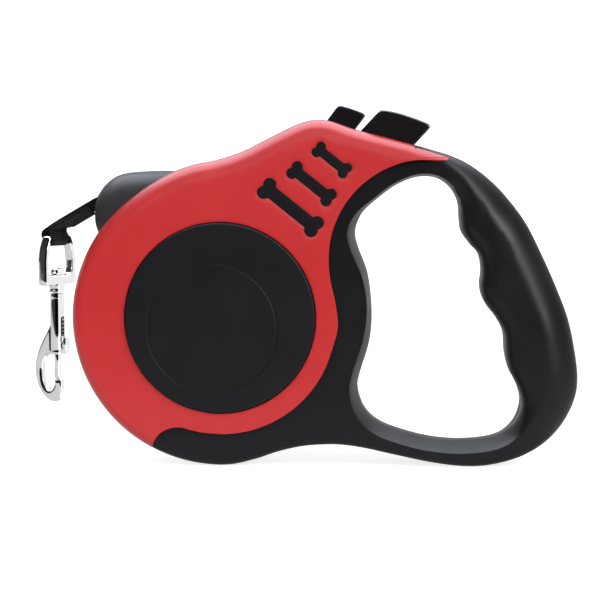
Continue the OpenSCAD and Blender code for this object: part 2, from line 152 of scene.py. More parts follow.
def round_corners(poly, r, n):
    """A polygon with its corners rounded; r is one radius, or one for each corner."""
    p = [np.array(x, float) for x in poly]
    rr = [r] * len(p) if np.isscalar(r) else r
    out = []
    for i, b in enumerate(p):
        a, c = p[i - 1], p[(i + 1) % len(p)]
        to_a, to_c = np.linalg.norm(a - b), np.linalg.norm(c - b)
        u, v = (a - b) / to_a, (c - b) / to_c
        half = acos(max(-1, min(1, float(u @ v)))) / 2
        if rr[i] <= 0 or half > 1.5:
            out.append(b)
            continue
        cut = min(rr[i] / tan(half), 0.48 * to_a, 0.48 * to_c)
        s, e = b + u * cut, b + v * cut
        for k in range(n + 1):
            t = k / n
            out.append((1 - t) ** 2 * s + 2 * t * (1 - t) * b + t * t * e)
    return np.array(out)


CASING = spline(arc(0, 0, 51.5, 124, 273, 13) + [
    (12, -49.4), (19.7, -46.8), (27.3, -45), (34, -44.3), (41, -44.2), (49.4, -45.3),
    (60.5, -47.7), (72.2, -50.1), (82, -51.35), (90, -51.35), (97.4, -50.1), (104.4, -47.9),
    (110.6, -44.7), (115.5, -40.8), (119.2, -36), (122, -30.2), (123.4, -24.3), (123.1, -16.3),
    (120.4, -2.2), (116.1, 9.6), (110.2, 22.7), (104.8, 33), (98, 41.9), (92.3, 47.6),
    (86.3, 52.1), (80, 55.3), (72.8, 57.6), (66.3, 59.4), (56, 62.1), (46.3, 64.6),
    (37.6, 67.5), (31.5, 67.8), (25.5, 66), (16.5, 61.6), (7.9, 57.3), (-1, 54.3),
    (-10.4, 52.3), (-19.5, 48.6)], 12, True)
HAND = spline([(67.5, 48.3), (74, 48), (79, 44.6), (81.7, 39.5), (82.2, 34), (82.9, 29.5), (86, 25),
    (89, 21.5), (90, 16), (89.6, 10.5), (91, 5.2), (95, -0.2), (97.8, -5.6), (98.4, -12.5),
    (99.8, -18.5), (103, -25), (104, -31), (101.3, -37.4), (95, -41.8), (84, -43.4),
    (73, -42.7), (63.5, -40.5), (55, -37.3), (49.6, -32.4), (47.2, -25.5), (47.9, -20),
    (51.2, -8.8), (52, 2), (50.6, 14.5), (47.2, 24), (46.2, 29.5), (48.6, 35.8), (54, 40.9), (60.5, 45.6)], 12, True)
COVER_EDGE = spline([(58, 66), (66.5, 59.2), (72, 56.9), (76.8, 55.4), (78.3, 54.7), (76.4, 54.1)]
                    + arc(71.4, 20.3, 34.1, 98, 185, 7) + [(38.2, 11.5), (39.8, 4.5), (40.5, -3)]
                    + arc(0.3, -0.6, 39.6, -14, -98, 7)
                    + [(-10, -38.9), (-13.5, -38), (-17, -38.2), (-20.4, -39.7), (-22.5, -42),
                       (-24, -45), (-26, -50)], 12, False)
SCREWS = [(20, 57), (91.3, 38.5), (112.5, -33), (43, -37)]
# Bone-shaped openings: middle, length between the ends, radius of the ends
BONES = [(24.25, 38, 20.8, 2.3), (31.5, 46.1, 14.9, 1.95), (38.4, 54.2, 11.5, 1.7)]
BONE_ANGLE = -38.8


def signed_area(p):
    return 0.5 * np.sum(p[:, 0] * np.roll(p[:, 1], -1) - p[:, 1] * np.roll(p[:, 0], -1))


def bone_outline(cx, cz, length, r, grow=0.0):
    """The outline of a bar with two round lobes at each end."""
    big, y = r + grow, r * 0.75
    dx, dy = sqrt(big * big - (big - y) ** 2), sqrt(big * big - y * y)
    a0, a1 = degrees(atan2(big - y, -dx)), degrees(atan2(-y, dy))
    lobe = [(length / 2 + p[0], y + p[1]) for p in arc(0, 0, big, a0 % 360, a1, 14)]
    q = lobe + [(x, -z) for x, z in reversed(lobe)]
    q = q + [(-x, -z) for x, z in q]
    c, s = cos(radians(BONE_ANGLE)), sin(radians(BONE_ANGLE))
    p = np.array([(cx + x * c - z * s, cz + x * s + z * c) for x, z in q])
    return p if signed_area(p) > 0 else p[::-1]


def seg_dist(p, a, b):
    """Each point's distance to the nearest of the segments from a to b."""
    out = np.empty(len(p))
    ab = b - a
    ll = (ab ** 2).sum(1) + 1e-12
    for i in range(0, len(p), 1500):
        q = p[i:i + 1500, None, :] - a
        t = np.clip((q * ab).sum(2) / ll, 0, 1)
        out[i:i + 1500] = np.sqrt(((q - t[..., None] * ab) ** 2).sum(2)).min(1)
    return out


def loop_dist(p, loop):
    return seg_dist(p, loop, np.roll(loop, -1, 0))


def nearest(p, q):
    """Each point's distance to the nearest point of q, and which one that is."""
    d, which = np.empty(len(p)), np.empty(len(p), int)
    for i in range(0, len(p), 1500):
        s = ((p[i:i + 1500, None, :] - q) ** 2).sum(2)
        j = s.argmin(1)
        d[i:i + 1500], which[i:i + 1500] = np.sqrt(s[np.arange(len(j)), j]), j
    return d, which


def inside(p, loop):
    a, b = loop, np.roll(loop, -1, 0)
    hit = np.zeros(len(p), bool)
    for i in range(0, len(p), 3000):
        x, z = p[i:i + 3000, 0, None], p[i:i + 3000, 1, None]
        cross = (a[:, 1] > z) != (b[:, 1] > z)
        with np.errstate(divide="ignore", invalid="ignore"):
            at = a[:, 0] + (z - a[:, 1]) * (b[:, 0] - a[:, 0]) / (b[:, 1] - a[:, 1])
        hit[i:i + 3000] = (np.where(cross, x < at, False).sum(1) % 2) == 1
    return hit


def on_sheet(p, loops):
    """Inside the first loop and outside the others."""
    ok = inside(p, loops[0])
    for q in loops[1:]:
        ok &= ~inside(p, q)
    return ok


def left_normals(loop):
    t = np.roll(loop, -1, 0) - np.roll(loop, 1, 0)
    return np.stack([-t[:, 1], t[:, 0]], 1) / (np.linalg.norm(t, axis=1)[:, None] + 1e-12)


def smooth(a, b, x):
    t = np.clip((x - a) / (b - a), 0, 1)
    return t * t * (3 - 2 * t)


def quarter(t):
    """Quarter circle: 0 at 0, 1 from 1 on."""
    t = np.clip(t, 0, 1)
    return np.sqrt(np.clip(1 - (1 - t) ** 2, 0, 1))


def corner(t, p):
    """A corner from 0 at 0 to 1 at 1: a quarter circle at p = 2, close to a chamfer at 1.1."""
    t = np.clip(t, 0, 1)
    return np.clip(1 - (1 - t) ** p, 0, 1) ** (1 / p)


def thetas(*deg):
    """Where the rings of a rounded edge lie, as shares of its radius."""
    return [1 - cos(radians(a)) for a in deg]


# ---- mesh helpers
def shade(ob, sharp):
    """Smooth faces, with edges sharper than this angle kept sharp; 0 keeps none."""
    ob.data.shade_smooth()
    if sharp:
        ob.data.set_sharp_from_angle(angle=radians(sharp))


def steps(n):
    """Angles of n points round a circle."""
    return [2 * pi * k / n for k in range(n)]


class Build:
    """Vertices and faces that grow piece by piece."""

    def __init__(self):
        self.v, self.f = [], []

    def add(self, verts, faces, matrix=None):
        n = len(self.v)
        if matrix is not None:
            verts = [matrix @ Vector(x) for x in verts]
        self.v.extend(tuple(x) for x in verts)
        self.f.extend(tuple(int(i) + n for i in f) for f in faces)
        return self

    def join(self, other, matrix=None):
        return self.add(other.v, other.f, matrix)


def new_object(name, build, matrix, sharp, material):
    mesh = bpy.data.meshes.new(name)
    mesh.from_pydata(build.v, [], build.f)
    if matrix is not None:
        mesh.transform(matrix)
    mesh.validate()
    mesh.update()
    ob = add_object(name, mesh)
    shade(ob, sharp)
    mesh.materials.append(material)
    return ob


def edit(ob, change):
    """Lets change work on the object's mesh as a bmesh."""
    bm = bmesh.new()
    bm.from_mesh(ob.data)
    change(bm)
    bm.to_mesh(ob.data)
    bm.free()


def outward(ob):
    """Turns every face of a closed mesh outwards."""
    edit(ob, lambda bm: bmesh.ops.recalc_face_normals(bm, faces=bm.faces))


def with_modifier(ob, kind, settings):
    """Gives ob the mesh that this modifier makes of it."""
    mod = ob.modifiers.new("shape", kind)
    for name, value in settings.items():
        setattr(mod, name, value)
    mesh = bpy.data.meshes.new_from_object(ob.evaluated_get(bpy.context.evaluated_depsgraph_get()))
    ob.modifiers.clear()
    old, ob.data = ob.data, mesh
    bpy.data.meshes.remove(old)


def apply_cut(ob, tool):
    with_modifier(ob, "BOOLEAN", {"operation": "DIFFERENCE", "object": tool, "solver": "EXACT"})
    bpy.data.objects.remove(tool)


def thicken(ob, wall_mm, rear):
    """Gives an open skin its wall, on the inside and up to the parting plane, which closes it."""
    with_modifier(ob, "SOLIDIFY", {"thickness": wall_mm / 1000, "offset": -1})
    for v in ob.data.vertices:
        v.co.y = max(v.co.y, 0) if rear else min(v.co.y, 0)
    shade(ob, SKIN_SHARP)


def weld(ob, sharp):
    def change(bm):
        bmesh.ops.remove_doubles(bm, verts=bm.verts, dist=1e-6)
        bmesh.ops.dissolve_degenerate(bm, edges=bm.edges, dist=1e-8)
        bmesh.ops.delete(bm, geom=[v for v in bm.verts if not v.link_faces], context="VERTS")

    edit(ob, change)
    shade(ob, sharp)
    return ob


def plate(loops, lift, rows, grid, extra=None, skip=None):
    """One half of a moulded piece: a lifted sheet inside the first loop and outside the others, with walls.
    loops is a list of (points, widths), and each width makes a ring of points that far from the edge.
    lift(points) gives the half thickness, and extra holds more points of the sheet.
    rows(loop index, heights) lists a wall's rows, each a half thickness or a pair of that and an inset,
    and skip leaves out a face of it."""
    alls = [p for p, _ in loops]
    pts, edges, spans = [], [], []
    for p in alls:
        n0, m = len(pts), len(p)
        pts.extend(map(tuple, p))
        edges.extend((n0 + i, n0 + (i + 1) % m) for i in range(m))
        spans.append((n0, m))
    inward = []
    for k, p in enumerate(alls):
        n = left_normals(p)
        inward.append(-n if (signed_area(p) > 0) == (k > 0) else n)

    # ring points, each kept where it is really that far from every edge, then the extra points and a grid
    widths = [[np.broadcast_to(w, (len(p),)) for w in ws] for p, ws in loops]
    c = np.vstack([p + n * w[:, None] for p, n, ws in zip(alls, inward, widths) for w in ws])
    w = np.concatenate([w for ws in widths for w in ws])
    ok = on_sheet(c, alls)
    c, w = c[ok], w[ok]
    d = np.min([loop_dist(c, p) for p in alls], axis=0)
    inner = [c[d >= np.minimum(w * 0.93, w - 0.01)]]
    lo, hi = alls[0].min(0), alls[0].max(0)
    gx = np.arange(lo[0] - grid, hi[0] + grid, grid)
    gz = np.arange(lo[1] - grid, hi[1] + grid, grid * 0.866)
    hexa = np.array([(x + (grid / 2 if j % 2 else 0), z) for j, z in enumerate(gz) for x in gx])
    hexa = hexa[on_sheet(hexa, alls)]
    for p, ws in zip(alls, widths):
        d, j = nearest(hexa, p)
        hexa = hexa[d - np.max(ws, axis=0)[j] > grid * 0.55]
    if extra is not None:
        inner.append(extra)
        hexa = hexa[nearest(hexa, extra)[0] > grid * 0.5]
    seen = set()
    for q in np.vstack(inner + [hexa]):
        key = (round(q[0] / 0.05), round(q[1] / 0.05))
        if key not in seen:
            seen.add(key)
            pts.append(tuple(q))

    vs, _, fs, origins, _, _ = delaunay_2d_cdt([Vector(p) for p in pts], edges, [], 0, 1e-5)
    P = np.array([(v[0], v[1]) for v in vs])
    F = np.array([f for f in fs if len(f) == 3])
    F = F[on_sheet(P[F].mean(1), alls)]
    # every face looks along -Y
    a, b, c = P[F[:, 0]], P[F[:, 1]], P[F[:, 2]]
    side = (b[:, 0] - a[:, 0]) * (c[:, 1] - a[:, 1]) - (b[:, 1] - a[:, 1]) * (c[:, 0] - a[:, 0])
    F[side < 0] = F[side < 0][:, ::-1]
    h = lift(P)
    out = Build().add([(p[0], -y, p[1]) for p, y in zip(P, h)], F)

    at = {old: new for new, olds in enumerate(origins) for old in olds}
    for k, (n0, m) in enumerate(spans):
        last = np.array([at[n0 + i] for i in range(m)])
        edge, last_y = P[last], h[last]
        for row in rows(k, last_y):
            y, inset = row if isinstance(row, tuple) else (row, 0.0)
            y = np.broadcast_to(y, (m,))
            q = edge + inward[k] * np.broadcast_to(inset, (m,))[:, None]
            now = np.arange(len(out.v), len(out.v) + m)
            out.v.extend((float(x[0]), -float(t), float(x[1])) for x, t in zip(q, y))
            for i in range(m):
                j = (i + 1) % m
                if skip is not None and skip(k, edge[i], edge[j], last_y[i], y[i]):
                    continue
                quad = [last[i], last[j], now[j], now[i]]
                e1 = Vector(out.v[quad[1]]) - Vector(out.v[quad[0]])
                e2 = Vector(out.v[quad[3]]) - Vector(out.v[quad[0]])
                if e1.cross(e2).dot(vec(-inward[k][i][0], 0, -inward[k][i][1])) < 0:
                    quad = quad[::-1]
                out.f.append(tuple(int(x) for x in quad))
            last, last_y = now, y
    return out


def mirrored(b):
    return Build().add([(x, -y, z) for x, y, z in b.v], [f[::-1] for f in b.f])


def slab_piece(outer, half, bevel, grid, step, fade=None):
    """A closed flat piece of the given outline, thick along Y, with rounded edges on both faces."""
    loop = evenly(np.array(outer), step, True)

    def lift(P):
        y = half - bevel + bevel * quarter(loop_dist(P, loop) / bevel)
        return y if fade is None else fade(P, y)

    b = plate([(loop, [bevel * t for t in thetas(20, 40, 60, 75, 90)])], lift, lambda k, h: [h * 0.5, 0.0], grid)
    return b.join(mirrored(b))


def rod_box(x0, x1, y0, y1, z0, z1, e):
    """A box with rounded edges."""
    poly = round_corners([(x0, z0), (x1, z0), (x1, z1), (x0, z1)], e, 4)
    b = slab_piece(poly, (y1 - y0) / 2, e, grid=3.0, step=1.5)
    b.v = [(x, y + (y0 + y1) / 2, z) for x, y, z in b.v]
    return b


def lathe(profile, segs):
    """Turns (radius, height) points about local Z. Points at radius 0 close the ends."""
    b = Build()
    rings = []
    for r, z in profile:
        if r < 1e-9:
            rings.append([len(b.v)])
            b.v.append((0, 0, z))
        else:
            rings.append(list(range(len(b.v), len(b.v) + segs)))
            b.v.extend((r * cos(a), r * sin(a), z) for a in steps(segs))
    for p, q in zip(rings, rings[1:]):
        for i in range(segs):
            j = (i + 1) % segs
            if len(p) == 1 and len(q) == 1:
                break
            if len(p) == 1:
                b.f.append((p[0], q[j], q[i]))
            elif len(q) == 1:
                b.f.append((p[i], p[j], q[0]))
            else:
                b.f.append((p[i], p[j], q[j], q[i]))
    if profile[0][1] > profile[-1][1]:
        b.f = [f[::-1] for f in b.f]
    return b


def sweep(sections):
    """Joins rings of points with the same count, and closes both ends."""
    b = Build()
    m, last = len(sections[0]), len(sections) - 1
    for s in sections:
        b.v.extend(tuple(p) for p in s)
    for k in range(last):
        for i in range(m):
            j = (i + 1) % m
            b.f.append((k * m + i, k * m + j, (k + 1) * m + j, (k + 1) * m + i))
    b.f.append(tuple(range(m))[::-1])
    b.f.append(tuple(last * m + i for i in range(m)))
    return b


def coil(r, wire, length, turns):
    """A compression spring along local Z."""
    sections, total = [], turns * 28
    for i in range(total + 1):
        u = i / total
        z = wire + (length - 2 * wire) * (u * 0.86 + 0.14 * smooth(0.0, 1.0, u))
        a = 2 * pi * turns * u
        out = vec(cos(a), sin(a), 0)
        sections.append([out * (r - wire + wire * cos(b)) + vec(0, 0, z + wire * sin(b)) for b in steps(10)])
    return sweep(sections)


# ---- materials
def lin(*c):
    return tuple(((x / 255 + 0.055) / 1.055) ** 2.4 if x > 10 else x / 255 / 12.92 for x in c) + (1.0,)


def node(tree, kind, values=None, **links):
    """Adds a shader node; values are its sockets' values, and links are the outputs that feed it."""
    n = tree.nodes.new("ShaderNode" + kind)
    for name, value in (values or {}).items():
        n.inputs[name].default_value = value
    for name, source in links.items():
        tree.links.new(source, n.inputs[name])
    return n


def ranged(tree, source, span, to, kind="LINEAR"):
    """Takes the values in span to the values in to."""
    n = node(tree, "MapRange", {"From Min": span[0], "From Max": span[1], "To Min": to[0],
                                          "To Max": to[1]}, Value=source)
    n.interpolation_type = kind
    return n.outputs["Result"]


def material(name, colour, rough, grain=0.0, grain_mm=0.3, vary=0.0, rough_vary=0.0, cloudy_mm=30.0, metal=0.0,
             specular=0.5, coat=0.0, coat_rough=0.1, sheen=0.0):
    """A finish with cloudy changes of colour and roughness, and a fine moulded grain."""
    m = bpy.data.materials.new(name)
    m.use_nodes = True
    tree = m.node_tree
    shader = tree.nodes["Principled BSDF"].inputs
    for socket, value in (("Metallic", metal), ("Roughness", rough), ("Base Color", colour), ("Coat Weight", coat),
                          ("Coat Roughness", coat_rough), ("Specular IOR Level", specular), ("Sheen Weight", sheen)):
        shader[socket].default_value = value
    place = node(tree, "TexCoord").outputs["Object"]
    if vary or rough_vary:
        cloud = node(tree, "TexNoise", {"Scale": 1000 / cloudy_mm, "Detail": 5}, Vector=place).outputs["Fac"]
    if vary:
        ramp = node(tree, "ValToRGB", Fac=cloud)
        low, high = ramp.color_ramp.elements
        low.position, high.position = 0.3, 0.7
        low.color = tuple(c * (1 - vary) for c in colour[:3]) + (1,)
        high.color = tuple(min(1, c * (1 + vary)) for c in colour[:3]) + (1,)
        tree.links.new(ramp.outputs["Color"], shader["Base Color"])
    if rough_vary:
        to = max(0.02, rough - rough_vary), min(1.0, rough + rough_vary)
        tree.links.new(ranged(tree, cloud, (0.3, 0.7), to), shader["Roughness"])
    if grain:
        fine = node(tree, "TexNoise", {"Scale": 1000 / grain_mm, "Detail": 3}, Vector=place)
        add_bump(tree, grain, 0.00006, fine.outputs["Fac"])
    return m


def add_bump(tree, strength, depth, height):
    bump = node(tree, "Bump", {"Strength": strength, "Distance": depth}, Height=height)
    tree.links.new(bump.outputs["Normal"], tree.nodes["Principled BSDF"].inputs["Normal"])


RED = material("red_plastic", lin(187, 36, 38), 0.36, 0.12, 0.35, 0.03, 0.04, 24, coat=0.25, coat_rough=0.25)
BLACK = material("black_plastic", lin(21, 20, 23), 0.37, 0.35, 0.5, 0.1, 0.05, 18, specular=0.25)
CAP = material("cap_plastic", lin(19, 19, 23), 0.5, 0.25, 0.4, 0.08, 0.05, 15, specular=0.25)
GREY = material("nozzle_plastic", lin(38, 38, 40), 0.46, 0.3, 0.45, 0.08, 0.06, 12, specular=0.4)
GLOSS = material("button_plastic", lin(24, 22, 24), 0.17, 0.06, 0.6, 0.1, 0.05, 7, coat=0.35, coat_rough=0.12)
CHROME = material("chrome", lin(240, 241, 243), 0.06, 0.05, 0.5, 0.02, 0.03, 4, metal=1.0)
STEEL = material("plated_steel", lin(170, 172, 176), 0.28, 0.2, 0.15, 0.06, 0.08, 3, metal=1.0)
SPRING = material("spring_steel", lin(96, 100, 112), 0.3, 0.15, 0.12, 0.1, 0.08, 3, metal=1.0)
NYLON = material("nylon", lin(226, 222, 210), 0.45, 0.2, 0.4, 0.03, 0.05, 5)
REEL_PLASTIC = material("reel_plastic", lin(60, 60, 64), 0.5, 0.3, 0.4, 0.08, 0.06, 12)
THREAD = material("thread", lin(30, 30, 32), 0.7, 0.5, 0.1, 0.15, 0.08, 1, sheen=0.2)


def webbing_material():
    """Tightly woven tape: two crossing sets of fine ribs, drawn from the position on the object."""
    m = material("webbing", lin(9, 9, 10), 0.75, vary=0.25, cloudy_mm=1.2, sheen=0.08, specular=0.18)
    tree = m.node_tree
    place = node(tree, "TexCoord").outputs["Object"]
    along = node(tree, "Mapping", {"Rotation": (0, radians(SLOPE), 0)}, Vector=place).outputs["Vector"]
    ribs = []
    for angle in (45, -45):
        skew = node(tree, "Mapping", {"Rotation": (0, 0, radians(angle)), "Scale": (3.1416,) * 3}, Vector=along)
        wave = node(tree, "TexWave", {"Scale": 1000 / (20 * 0.62), "Distortion": 0.6, "Detail": 1,
                                                "Detail Scale": 4}, Vector=skew.outputs["Vector"])
        wave.wave_type, wave.bands_direction = "BANDS", "X"
        ribs.append(wave.outputs["Fac"])
    weave = node(tree, "Math")
    weave.operation = "MULTIPLY"
    for source, socket in zip(ribs, weave.inputs):
        tree.links.new(source, socket)
    add_bump(tree, 0.9, 0.00018, weave.outputs["Value"])
    return m


WEB = webbing_material()


def done(ob, body, slot, *nodes):
    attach(ob, body)
    if nodes:
        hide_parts(*nodes)
    return ob


# ---- casing: half thicknesses of the shells and covers, and of the rounding's foot
HALF, COVER, EDGE_Y = 12.5, 14.5, 9.6
# The hand opening's walls: where the slope and the finger grooves start, and the grooves' width
FLARE_FROM, GROOVE_FROM, GROOVE_W = 2.6, 6.2, 6.0
# Rows of the outer wall, down to the parting plane's chamfer
TOP_ROWS = [7.8, 6.3, 3.0]
CHAMFER_Y, CHAMFER_IN = 0.3, 0.22
SKIN_SHARP = 36
# The thumb buttons' ways: stroke, shift, from, to, half width
WAYS = [(radians(BRAKE), 0.0, -8.9, 8.5, 7.8), (radians(LOCK), LOCK_SHIFT, -5.2, 5.0, 6.3)]
WAY_FROM = 60


def stroke_xz(p, a, shift):
    """Across and along a thumb button's stroke."""
    return p[0] * sin(a) - p[1] * cos(a) - shift, p[0] * cos(a) + p[1] * sin(a)


def with_ways(loop):
    """Adds points where the thumb buttons' ways cross an outline."""
    out = []
    for p, q in zip(loop, np.roll(loop, -1, 0)):
        out.append(p)
        cuts = []
        for a, shift, x0, x1, _ in WAYS:
            (u, s), (v, t) = stroke_xz(p, a, shift), stroke_xz(q, a, shift)
            if s < WAY_FROM or t < WAY_FROM:
                continue
            for lim in (x0, x1):
                if (u - lim) * (v - lim) < 0 and 0.02 < (lim - u) / (v - u) < 0.98:
                    cuts.append((lim - u) / (v - u))
        out.extend(p + (q - p) * k for k in sorted(cuts))
    return np.array(out)


def in_way(k, p, q, y0, y1):
    """Whether a face of the outer wall lies in a button's way."""
    for a, shift, x0, x1, half in WAYS:
        u, s = stroke_xz((p + q) / 2, a, shift)
        if k == 0 and s > WAY_FROM and x0 < u < x1 and max(y0, y1) <= half + 0.01:
            return True
    return False


def lip_ways(bm):
    """Gives the edges of the buttons' ways some depth."""
    inv = reel_m.inverted()
    for a, shift, x0, x1, half in WAYS:
        edges = []
        for e in bm.edges:
            if not e.is_boundary:
                continue
            ends = [inv @ v.co for v in e.verts]
            places = [stroke_xz((p.x, p.z), a, shift) for p in ends]
            if (all(s >= WAY_FROM and x0 - 0.02 <= u <= x1 + 0.02 for u, s in places)
                    and all(abs(p.y) <= half + 0.02 for p in ends) and any(abs(p.y) >= 0.05 for p in ends)):
                edges.append(e)
        if edges:
            down = vec(-cos(a), 0, -sin(a)) * 0.003
            for g in bmesh.ops.extrude_edge_only(bm, edges=edges)["geom"]:
                if isinstance(g, bmesh.types.BMVert):
                    g.co += down


def casing_skin(build, name, rear, wall, mat, slot, node=None, ways=False):
    """Places the skin of one face, closed by its wall."""
    side = "rear_" if rear else "front_"
    ob = new_object(side + name, mirrored(build) if rear else build, reel_m, SKIN_SHARP, mat)
    if ways:
        edit(ob, lip_ways)
    thicken(ob, wall, rear)
    return done(ob, "casing", slot, *([side + node] if node else []))


def crossings(path, loop):
    """Where an open path crosses a closed loop: (place on the path, place on the loop, point)."""
    found = []
    s = np.roll(loop, -1, 0) - loop
    for i in range(len(path) - 1):
        p, r = path[i], path[i + 1] - path[i]
        den = r[0] * s[:, 1] - r[1] * s[:, 0]
        with np.errstate(divide="ignore", invalid="ignore"):
            t = ((loop[:, 0] - p[0]) * s[:, 1] - (loop[:, 1] - p[1]) * s[:, 0]) / den
            u = ((loop[:, 0] - p[0]) * r[1] - (loop[:, 1] - p[1]) * r[0]) / den
        for j in np.where((t >= 0) & (t < 1) & (u >= 0) & (u < 1))[0]:
            found.append((i + t[j], j + u[j], p + r * t[j]))
    return found


def loop_part(loop, a, b):
    """Points of a closed loop strictly between two places along it, going forward."""
    n = len(loop)
    if b < a:
        b += n
    return np.array([loop[i % n] for i in range(int(a) + 1, int(ceil(b))) if a + 0.2 < i < b - 0.2])


casing_even = evenly(CASING, 0.8, True)
hand_even = evenly(HAND, 0.7, True)
# The cover's edge enters and leaves the casing's outline at these two places
crossed = crossings(COVER_EDGE, casing_even)
(in_path, in_loop, way_in), (out_path, out_loop, way_out) = crossed[0], crossed[-1]
red_side = loop_part(casing_even, in_loop, out_loop)
black_side = loop_part(casing_even, out_loop, in_loop)
edge_path = np.vstack([[way_in], COVER_EDGE[int(in_path) + 1:int(out_path) + 1], [way_out]])
edge_in = evenly(edge_path, 0.5, False)[1:-1]


def grip(P):
    return smooth(68, 99, P[:, 0]) * smooth(-52, -38, P[:, 1])


def groove_side(P):
    """1 along the finger grooves, 0 along the rest of the hand opening."""
    return smooth(74, 88, P[:, 0]) * smooth(-43, -32, P[:, 1])


def roll_width(P):
    """How far in the outer edge's rounding reaches."""
    return 3.0 + 7.7 * grip(P)


def flare_width(P):
    """How far the hand opening's sloping wall reaches on the body's side."""
    z = P[:, 1]
    return 2.6 + 0.75 * smooth(-20, -38, z) - 1.1 * np.exp(-((z - 6) / 12) ** 2) - 1.6 * smooth(30, 41, z)


def settled(loop, width):
    """Ring widths for a width that changes from place to place, each taken where its ring ends."""
    n = left_normals(loop)
    w = width(loop)
    for _ in range(6):
        w = width(loop + n * w[:, None])
    return w


def shell_lift(P):
    g, gi = grip(P), groove_side(P)
    e = EDGE_Y - 6.2 * g
    out = e + (HALF - e) * corner(loop_dist(P, casing_even) / roll_width(P), 2 - 0.52 * g)
    d = loop_dist(P, hand_even)
    flared = FLARE_FROM + (HALF - FLARE_FROM) * corner(d / flare_width(P), 1.14)
    rounded = GROOVE_FROM + (HALF - GROOVE_FROM) * corner(d / GROOVE_W, 1.9)
    return out * ((1 - gi) * flared + gi * rounded) / HALF


def shell_outline():
    """The casing's outline, stepped in by the cover's thickness where the cover wraps it."""
    t = np.gradient(red_side, axis=0)
    n = np.stack([-t[:, 1], t[:, 0]], 1) / np.linalg.norm(t, axis=1)[:, None]
    return np.vstack([[way_in], (red_side + n * 2.05)[2:-2], [way_out], black_side])


def wall_rows(h):
    """The outer wall's half thicknesses, down to the parting plane."""
    return [h * y / EDGE_Y for y in TOP_ROWS] + [np.full(len(h), CHAMFER_Y), np.zeros(len(h))]


def make_shell(rear):
    outline = with_ways(shell_outline())
    w = settled(outline, roll_width)
    wi = settled(hand_even, lambda P: flare_width(P) + (GROOVE_W - flare_width(P)) * groove_side(P))
    ts = thetas(14, 28, 42, 56, 66, 74, 82, 90) + [1.1]
    hand_ts = (0.06, 0.16, 0.3, 0.45, 0.6, 0.74, 0.85, 0.93, 0.975, 1.0, 1.05)
    loops = [(outline, [w * t for t in ts]), (hand_even, [wi * t for t in hand_ts])]
    hole_r, hole_edge, hole_floor = 2.9, 0.35, 8.5
    if rear:
        loops += [(ring(x, z, hole_r, 40), [0.15, hole_edge]) for x, z in SCREWS]

    def lift(P):
        h = shell_lift(P)
        if rear:
            d = np.min([np.abs(np.hypot(P[:, 0] - x, P[:, 1] - z) - hole_r) for x, z in SCREWS], axis=0)
            h = h - hole_edge * (1 - quarter(d / hole_edge))
        return h

    def rows(k, h):
        if k == 0:
            return list(zip(wall_rows(h), [0.0] * 4 + [CHAMFER_IN]))
        if k == 1:
            return [h * 0.66, h * 0.33, 0.28, (0.0, 0.2)]
        return [h - 1.5, hole_floor, (hole_floor - 0.05, -1.6)]

    casing_skin(plate(loops, lift, rows, 1.2, skip=in_way), "shell_skin", rear, 1.0, BLACK, "shell_black", "shell",
                ways=True)


# ---- red covers, caps, bone inserts
def cover_roll(P):
    """How far in the cover's outer rounding reaches: further along the top."""
    return 3.9 + 1.5 * smooth(5, 40, P[:, 1])


def make_cover(rear):
    outer = with_ways(np.vstack([red_side, [way_out], edge_in[::-1], [way_in]]))
    on_casing = loop_dist(outer, casing_even) < 0.02
    ts = thetas(14, 28, 42, 56, 72, 90)
    wide = np.where(on_casing, cover_roll(outer), 0.35)
    loops = [(outer, [wide * t for t in ts]), (ring(0, 0, 33.0, 260), [0.35 * t for t in ts[1::2]])]
    loops += [(evenly(bone_outline(*b), 0.4, True), [0.2 * t for t in ts[1::2]]) for b in BONES]
    if rear:
        loops.append((ring(*SCREWS[0], 3.1, 44), [0.4 * t for t in ts[1::2]]))
    path = np.vstack([[way_in], edge_in, [way_out]])

    def lift(P):
        dc = loop_dist(P, casing_even)
        h = EDGE_Y + (COVER - EDGE_Y) * corner(dc / cover_roll(P), 2 - 0.4 * smooth(5, 40, P[:, 1]))
        di = np.min([seg_dist(P, path[:-1], path[1:])] + [loop_dist(P, q) for q, _ in loops[1:]], axis=0)
        return h - 0.22 * (1 - quarter(di / 0.3)) * smooth(0.0, 1.2, dc)

    def rows(k, h):
        if k:
            return [h - 0.8, h - 1.9]
        # the wall runs down to the parting plane on the casing's outline, and to the shell elsewhere
        drop, inset = [0.5, 1.0, 1.5, 2.0, 2.3], [0.0] * 4 + [CHAMFER_IN]
        return [(np.where(on_casing, y, np.maximum(h - x, 0)), np.where(on_casing, i, 0.0))
                for y, x, i in zip(wall_rows(h), drop, inset)]

    ob = casing_skin(plate(loops, lift, rows, 1.6, skip=in_way), "cover_skin", rear, 1.0, RED, "cover_red", "cover",
                     ways=True)
    # the chrome shows the black and white room, without the cover's red
    ob.visible_glossy = False


def make_bones(rear):
    out = Build()
    for bone in BONES:
        loop = evenly(bone_outline(*bone, grow=-0.03), 0.4, True)
        out.join(plate([(loop, [0.25 * t for t in thetas(30, 60, 90)])],
                       lambda P: 14.5 - 0.15 * (1 - quarter(loop_dist(P, loop) / 0.25)),
                       lambda k, h: [h - 1.0, h - 2.0], 0.8))
    casing_skin(out, "bone_inserts", rear, 0.6, BLACK, "shell_black")


